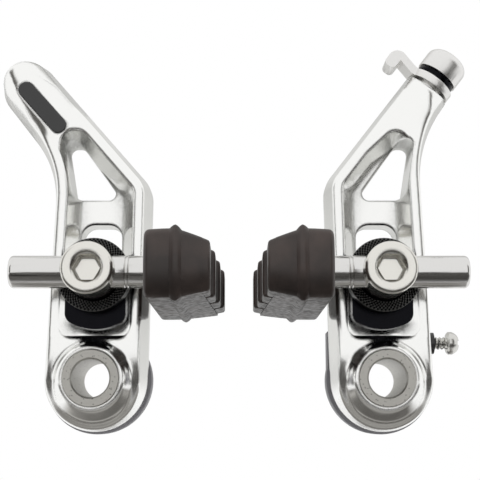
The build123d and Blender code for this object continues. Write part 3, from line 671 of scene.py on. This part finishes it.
def bulged(loops):
    """The same loops with bulging ends: near them, by the eighth power of the distance from the
    pad's middle, the depth falls off by the square of the height and swells beside the bead."""
    top, bottom = pad_heights(loops[..., 0])
    height = np.clip((2 * loops[..., 2] - top - bottom) / (top - bottom), -1, 1)
    sideways = (np.abs(loops[..., 0] - PAD_RIDGE) - PAD_CHEEK_CENTRE) / PAD_CHEEK_HALF
    along = (loops[..., 1] - POST_DEPTH) / PAD_HALF_LENGTH
    fall = PAD_CROWN * height**2 - PAD_CHEEK * (1 - np.clip(sideways, -1, 1) ** 2)
    loops[..., 1] -= np.sign(along) * along**8 * fall
    return loops


def pad_body():
    """Stack of rounded rectangles from the back face, through a quarter-round edge and the bead's
    cosine bump, to the floor of the grooves, which leans as the blocks step."""
    turn = np.linspace(0, np.pi / 2, PAD_EDGE_STEPS)
    front = PAD_FRONT - PAD_GROOVE_DEPTH
    bead = PAD_RIDGE + np.linspace(-PAD_RIDGE_HALF, PAD_RIDGE_HALF, PAD_RIDGE_STEPS)
    cheek = np.linspace(PAD_BACK + PAD_ROUND, bead[0], PAD_SIDE_STEPS)[1:-1]
    taper = np.linspace(bead[-1], front, PAD_SIDE_STEPS)[1:]
    x = np.concatenate([PAD_BACK + PAD_ROUND * (1 - np.cos(turn)), cheek, bead, taper])
    inset = np.concatenate([PAD_ROUND * (1 - np.sin(turn)), np.zeros(x.size - turn.size)])
    across = np.clip((x - PAD_RIDGE) / PAD_RIDGE_HALF, -1, 1)
    bump = PAD_RIDGE_HEIGHT * np.cos(np.pi / 2 * across)
    top, bottom = pad_heights(x)
    middle = np.stack([np.full(x.size, POST_DEPTH), (top + bottom) / 2])
    half = np.stack([np.full(x.size, PAD_HALF_LENGTH), (top - bottom) / 2]) + bump - inset
    radius = np.interp(x, [PAD_BACK, PAD_RIDGE, front], PAD_CORNERS)
    loops = bulged(rounded_loops(x, middle, half, radius))
    lean = (POST_DEPTH + PAD_HALF_LENGTH - loops[..., 1]) / (2 * PAD_HALF_LENGTH)
    foot = PAD_RIDGE + PAD_RIDGE_HALF
    share = np.clip((x - foot) / (front - foot), 0, 1)
    loops[..., 0] += share[:, None] * lean * PAD_BLOCK_STEP * (PAD_BLOCKS - 1)
    return loops


def pad_friction_block(number):
    """Stack of rounded rectangles from inside the pad to one friction face, by a rounded edge."""
    pitch = 2 * PAD_HALF_LENGTH / PAD_BLOCKS
    face = PAD_FRONT + number * PAD_BLOCK_STEP
    near = POST_DEPTH + PAD_HALF_LENGTH - number * pitch
    far = near - pitch + (PAD_GROOVE_WIDTH if number < PAD_BLOCKS - 1 else 0)
    turn = np.linspace(0, np.pi / 2, FINE_STEPS)
    foot = face - PAD_GROOVE_DEPTH - PAD_BLOCK_SINK
    x = np.concatenate([[foot], face - PAD_BLOCK_ROUND * (1 - np.sin(turn))])
    inset = np.concatenate([[0], PAD_BLOCK_ROUND * (1 - np.cos(turn))]) + PAD_BLOCK_INSET
    top, bottom = pad_heights(x)
    middle = np.stack([np.full(x.size, (near + far) / 2), (top + bottom) / 2])
    half = np.stack([np.full(x.size, (near - far) / 2), (top - bottom) / 2]) - inset
    return bulged(rounded_loops(x, middle, half, np.full(x.size, PAD_BLOCK_CORNER)))


def pad_collar():
    """Short turned lip at the pad's back round the post: its radius falls by a quarter round."""
    fall = np.linspace(0, np.pi / 2, FINE_STEPS)
    lip = COLLAR_EDGE * (1 - np.sin(fall))
    x = PAD_BACK - COLLAR_REACH + np.concatenate([[COLLAR_REACH + COLLAR_SINK], lip])
    radius = COLLAR_RADIUS - np.concatenate([[0], COLLAR_EDGE * (1 - np.cos(fall))])
    return turned_about_post(x, radius, COLLAR_SIDES)


def pad_scuff(stack):
    """Wear of a stack's points: the fourth power of how far they lie below the pad's middle."""
    top, bottom = pad_heights(stack[..., 0])
    return np.clip((top + bottom - 2 * stack[..., 2]) / (top - bottom), 0, 1).ravel() ** 4


RUBBER_CLOUD = 6.0 * MM
RUBBER_TONES = (("#231c19", 0.35), ("#372d29", 0.7))
RUBBER_GRAIN = 0.45 * MM  # drawn coarser than it is, so that it shows
GRAIN_STRENGTH = 0.2
GRAIN_HEIGHT = 0.05 * MM
SCUFF_SIZE = 1.1 * MM
SCUFF_START = 0.42
SCUFF_FULL = 0.66
SCUFF_SHINE = (0.34, 0.6)
SCUFF_STRENGTH = 0.35
SCUFF_HEIGHT = 0.25 * MM
rubber, tree, shader, place = finish_of("moulded_brake_rubber", "#2b2320", 0.0, 0.34)
cloud, grain, blotch = [
    add(tree, "ShaderNodeTexNoise", {"Vector": place, "Scale": 1 / size, "Detail": detail})
    for size, detail in ((RUBBER_CLOUD, 3.0), (RUBBER_GRAIN, 4.0), (SCUFF_SIZE, 4.0))
]
tint = add(tree, "ShaderNodeValToRGB", {"Fac": cloud.outputs["Fac"]}, stops=RUBBER_TONES)
tree.links.new(tint.outputs["Color"], shader.inputs["Base Color"])
worn = add(tree, "ShaderNodeAttribute", attribute_name="wear")
scuff = add(
    tree,
    "ShaderNodeMath",
    {0: worn.outputs["Fac"], 1: blotch.outputs["Fac"]},
    operation="MULTIPLY",
).outputs["Value"]
shine = add(
    tree,
    "ShaderNodeMapRange",
    {
        "Value": scuff,
        "From Min": SCUFF_START,
        "From Max": SCUFF_FULL,
        "To Min": SCUFF_SHINE[0],
        "To Max": SCUFF_SHINE[1],
    },
)
tree.links.new(shine.outputs["Result"], shader.inputs["Roughness"])
rise = add(
    tree,
    "ShaderNodeBump",
    {"Height": grain.outputs["Fac"], "Strength": GRAIN_STRENGTH, "Distance": GRAIN_HEIGHT},
)
torn = add(
    tree,
    "ShaderNodeBump",
    {
        "Height": scuff,
        "Strength": SCUFF_STRENGTH,
        "Distance": SCUFF_HEIGHT,
        "Normal": rise.outputs["Normal"],
    },
)
tree.links.new(torn.outputs["Normal"], shader.inputs["Normal"])
stacks = [pad_body(), pad_collar(), *map(pad_friction_block, range(PAD_BLOCKS))]
wear = np.concatenate([pad_scuff(stack) for stack in stacks])
for side in SIDES:
    shells = [(stand(stack, side), False) for stack in stacks]
    carried = (f"{side}_pad", f"{side}_brake_pad", "pad_rubber")
    skin(f"{side}_rubber_pad", shells, rubber, *carried, wear=wear)

# Cable anchor: a steel hook plate and a round-headed bolt on the right arm's end.
# Both are barrel plated, so the shine is soft and even.

ANCHOR_EDGE = 0.3
ANCHOR_SHINE = (0.26, 0.42)
anchor_plate, tree, shader, place = finish_of("barrel_plated_steel", "#e6e5e3", 1.0, 0.34)
wander(tree, shader, place, TURNING_PITCH, ANCHOR_SHINE, detail=2.0)
dress(anchor_plate, "hook_plate", "anchor_bolt", edge=ANCHOR_EDGE)

# Tension screw: a small plated pan-head screw that presses on the right spring's leg.
# The thread is drawn a quarter coarser than it is, so that its turns show.

SCREW_DEPTH = 9.0
SCREW_HEIGHT = 8.2
SCREW_TIP = 8.35
SCREW_SEAT = 14.8
SCREW_END = 17.5
SCREW_RADIUS = 1.45
SCREW_SIDES = 64
SCREW_SHINE = (0.14, 0.3)
POINT_LENGTH = 0.6
POINT_SHARE = 0.75
THREAD_PITCH = 0.85
THREAD_DEPTH = 0.34
THREAD_STEPS = 130
HEAD_RADIUS = 2.55
HEAD_DOME = 1.5
HEAD_CHAMFER = 0.4
HEAD_STEPS = 30
HEAD_MIDDLE = 0.02
CROSS_REACH = 1.6
CROSS_HALF_WIDTH = 0.42
CROSS_DEPTH = 1.1
CROSS_LIMIT = 1.15
CROSS_SLOPE = 0.3


def screw_rings():
    """Rings along the screw: a radius that falls from crest to root by a triangle wave of the
    distance less the turn, one pitch a turn, and narrows at the point. A pan head follows, whose
    dome drops by the fourth power of its radius and whose end sinks in a cross."""
    turn = np.linspace(0, 2 * np.pi, SCREW_SIDES, endpoint=False)
    shaft = np.linspace(SCREW_TIP, SCREW_SEAT, THREAD_STEPS)
    phase = (shaft[:, None] / THREAD_PITCH - turn / (2 * np.pi)) % 1.0
    thread = SCREW_RADIUS - THREAD_DEPTH * np.abs(2 * phase - 1)
    from_tip = np.clip((shaft - SCREW_TIP) / POINT_LENGTH, 0, 1)[:, None]
    thread *= from_tip * (1 - POINT_SHARE) + POINT_SHARE
    dome = np.linspace(1, HEAD_MIDDLE, HEAD_STEPS)
    head_foot = [SCREW_SEAT, SCREW_SEAT + HEAD_CHAMFER]
    head_x = np.concatenate([head_foot, SCREW_END - HEAD_DOME * dome**4])
    head_rim = [HEAD_RADIUS - HEAD_CHAMFER, HEAD_RADIUS]
    head_radius = np.concatenate([head_rim, HEAD_RADIUS * dome])
    head = np.broadcast_to(head_radius[:, None], (head_radius.size, turn.size))
    radius = np.concatenate([thread, head])
    x = np.concatenate([shaft, head_x])[:, None] * np.ones_like(turn)
    across, up = radius * np.cos(turn), radius * np.sin(turn)
    level_bar = np.maximum(np.abs(across) / CROSS_REACH, np.abs(up) / CROSS_HALF_WIDTH)
    upright_bar = np.maximum(np.abs(up) / CROSS_REACH, np.abs(across) / CROSS_HALF_WIDTH)
    bars = np.minimum(level_bar, upright_bar)
    inside = np.clip((CROSS_LIMIT - bars) / CROSS_SLOPE, 0, 1)
    x = x - CROSS_DEPTH * inside * (x > SCREW_END - HEAD_DOME)
    return np.stack([-x, SCREW_DEPTH + across, SCREW_HEIGHT + up], axis=-1)


screw_steel, tree, shader, place = finish_of("zinc_plated_screw_steel", "#d5d4d0", 1.0, 0.2)
wander(tree, shader, place, TURNING_PITCH, SCREW_SHINE, detail=2.0)
screw = [(stand(screw_rings(), "right"), False)]
carried = ("tension_screw", "right_tension_screw", "plain_steel")
skin("threaded_tension_screw", screw, screw_steel, *carried)

# Studio: a pale floor that fades into a white backdrop, broad soft lamps and grey cards.
# The cards lie low in front and stand beside and behind the brake, where polished metal mirrors
# the dim room; they glow with their greys and show only in mirrors, as painted reflections. All its
# sizes are in metres.

FLOOR_HEIGHT = -0.030
FLOOR_HALF = 0.6
FLOOR_SOLID = 0.07
FLOOR_FADE = 0.13


def rectangle(low, high, level=None, depth=None):
    """Corners, in order round it, of a rectangle from two opposite ones: flat at a level, or
    upright at a depth."""
    pairs = [(low[0], low[1]), (high[0], low[1]), (high[0], high[1]), (low[0], high[1])]
    if depth is None:
        return [(x, y, level) for x, y in pairs]
    return [(x, depth, z) for x, z in pairs]


def flat_sheet(name, corners):
    """Four-cornered sheet of the stage."""
    mesh = bpy.data.meshes.new(name)
    mesh.from_pydata(corners, [], [(0, 1, 2, 3)])
    mesh.uv_layers.new(name="across").data.foreach_set("uv", [0, 0, 1, 0, 1, 1, 0, 1])
    sheet = bpy.data.objects.new(name, mesh)
    bpy.context.scene.collection.objects.link(sheet)
    return sheet


def fade_out(tree, shown, distance, start, end):
    """Lets a sheet show less and less of itself from a start to an end along a distance."""
    share = add(
        tree,
        "ShaderNodeMapRange",
        {"Value": distance, "From Min": start, "From Max": end},
        interpolation_type="SMOOTHSTEP",
    )
    clear = add(tree, "ShaderNodeBsdfTransparent")
    mixed = add(
        tree,
        "ShaderNodeMixShader",
        {0: share.outputs["Result"], 1: shown, 2: clear.outputs["BSDF"]},
    )
    tree.links.new(mixed.outputs["Shader"], tree.nodes["Material Output"].inputs["Surface"])


floor_ends = ((-FLOOR_HALF, -FLOOR_HALF), (FLOOR_HALF, FLOOR_HALF))
floor = flat_sheet("floor", rectangle(*floor_ends, level=FLOOR_HEIGHT))
pale, tree, shader, place = finish_of("pale_floor", "#f4f4f4", 0.0, 0.9)
distance = add(tree, "ShaderNodeVectorMath", {0: place}, operation="LENGTH").outputs["Value"]
fade_out(tree, shader.outputs["BSDF"], distance, FLOOR_SOLID, FLOOR_FADE)
floor.data.materials.append(pale)

CARD_STREAK = (0.15, 0.012, 0.03)
CARD_STOPS = (0.35, 0.7)
CARD_MIDDLE = (0.5, 0.5, 0.0)
CARD_SOLID = 0.36
CARD_BORDER = 0.5
LOW_HEIGHT = -0.029
LOW_NEAR = -0.012
LOW_FAR = -0.36
LOW_HALF = 0.30
UNDER_HEIGHT = -0.0285
UNDER_NEAR = 0.035
UNDER_FAR = -0.04
UNDER_HALF = 0.075
BACK_DEPTH = 0.12
BACK_HALF = 0.2
BACK_HEAD = 0.3
WING_INNER = 0.10
WING_OUTER = 0.30
WING_FRONT = -0.14
WING_FOOT = -0.02
WING_HEAD = 0.15


def grey_card(name, corners, low, high):
    """Glowing sheet that only mirrors show, a painted reflection: streaks between two greys, fading
    out towards its border.
    """
    card = flat_sheet(name, corners)
    finish, tree, _, place = finish_of(f"{name}_painted_reflection", low, 0.0, 0.9)
    scale = [1 / size for size in CARD_STREAK]
    stretched = add(tree, "ShaderNodeMapping", {"Vector": place, "Scale": scale}).outputs["Vector"]
    streak = add(tree, "ShaderNodeTexNoise", {"Vector": stretched, "Scale": 1.0, "Detail": 3.0})
    greys = tuple(zip((low, high), CARD_STOPS))
    tone = add(tree, "ShaderNodeValToRGB", {"Fac": streak.outputs["Fac"]}, stops=greys)
    # The card glows with its greys: a painted reflection, not a lamp.
    glow = add(tree, "ShaderNodeEmission", {"Color": tone.outputs["Color"]})
    across = add(tree, "ShaderNodeTexCoord").outputs["UV"]
    centred = add(
        tree,
        "ShaderNodeVectorMath",
        {0: across, 1: CARD_MIDDLE},
        operation="SUBTRACT",
    ).outputs["Vector"]
    spread = add(tree, "ShaderNodeVectorMath", {0: centred}, operation="ABSOLUTE").outputs["Vector"]
    parts = add(tree, "ShaderNodeSeparateXYZ", {"Vector": spread}).outputs
    border = add(tree, "ShaderNodeMath", {0: parts["X"], 1: parts["Y"]}, operation="MAXIMUM")
    fade_out(tree, glow.outputs["Emission"], border.outputs["Value"], CARD_SOLID, CARD_BORDER)
    card.data.materials.append(finish)
    card.visible_camera = False
    card.visible_diffuse = False
    card.visible_shadow = False


low_ends = ((-LOW_HALF, LOW_FAR), (LOW_HALF, LOW_NEAR))
grey_card("low_card", rectangle(*low_ends, level=LOW_HEIGHT), "#1f1e1d", "#7c7a77")
# The under card is a painted reflection of the floor's shadow beneath the bosses.
under_ends = ((-UNDER_HALF, UNDER_FAR), (UNDER_HALF, UNDER_NEAR))
grey_card("under_card", rectangle(*under_ends, level=UNDER_HEIGHT), "#5d5b58", "#b5b3af")
back_ends = ((-BACK_HALF, FLOOR_HEIGHT), (BACK_HALF, BACK_HEAD))
grey_card("back_card", rectangle(*back_ends, depth=BACK_DEPTH), "#c9c9c7", "#e2e2e0")
for side, sign in zip(SIDES, (-1, 1)):
    wing_ends = ((sign * WING_OUTER, WING_FOOT), (sign * WING_INNER, WING_HEAD))
    grey_card(f"{side}_card", rectangle(*wing_ends, depth=WING_FRONT), "#3a3937", "#8f8d89")

DIFFUSE_LEVEL = 0.6
SEEN_LEVEL = 1.0
world = bpy.data.worlds.new("studio")
bpy.context.scene.world = world
world.use_nodes = True
tree = world.node_tree
rays = add(tree, "ShaderNodeLightPath").outputs
seen = rays["Is Camera Ray"]
for ray in ("Is Transmission Ray", "Is Glossy Ray"):
    either = {0: seen, 1: rays[ray]}
    seen = add(tree, "ShaderNodeMath", either, operation="MAXIMUM").outputs["Value"]
level = add(
    tree,
    "ShaderNodeMapRange",
    {"Value": seen, "To Min": DIFFUSE_LEVEL, "To Max": SEEN_LEVEL},
)
backdrop = tree.nodes["Background"]
backdrop.inputs["Color"].default_value = linear("#ffffff")
tree.links.new(level.outputs["Result"], backdrop.inputs["Strength"])

LAMP_TARGET = (0, -0.02, 0.03)
LAMPS = {  # spot, width and watts
    "overhead_lamp": ((-0.15, -0.25, 0.5), 0.35, 2.2),
    "side_lamp": ((0.45, -0.2, 0.2), 0.3, 0.8),
}
for name, (spot, width, watts) in LAMPS.items():
    lamp = bpy.data.lights.new(name, "AREA")
    lamp.size = width
    lamp.energy = watts
    holder = bpy.data.objects.new(name, lamp)
    holder.location = spot
    aim = np.array(LAMP_TARGET) - np.array(spot)
    level_run = math.hypot(aim[0], aim[1])
    holder.rotation_euler = (math.atan2(level_run, -aim[2]), 0, math.atan2(-aim[0], aim[1]))
    holder.visible_glossy = False
    bpy.context.scene.collection.objects.link(holder)

# Camera: the photograph's view, level in roll and midway between the arms.
# It stands a little below the pads and looks up at the arms.

FOCAL_PIXELS = 1120.5
IMAGE_PIXELS = 480
LENS_PIXEL_OFFSET = 1.0
NEAREST = 0.01
CAMERA_PLACE = (0, -261.5 * MM, -9.03 * MM)
CAMERA_RISE = 9.176
lens = bpy.data.cameras.new("camera")
lens.lens = lens.sensor_width * FOCAL_PIXELS / IMAGE_PIXELS
lens.shift_x = LENS_PIXEL_OFFSET / IMAGE_PIXELS
lens.clip_start = NEAREST
camera = bpy.data.objects.new("camera", lens)
camera.location = CAMERA_PLACE
camera.rotation_euler = (math.radians(90 + CAMERA_RISE), 0, 0)
bpy.context.scene.collection.objects.link(camera)
bpy.context.scene.camera = camera
bpy.context.scene.view_settings.view_transform = "Standard"
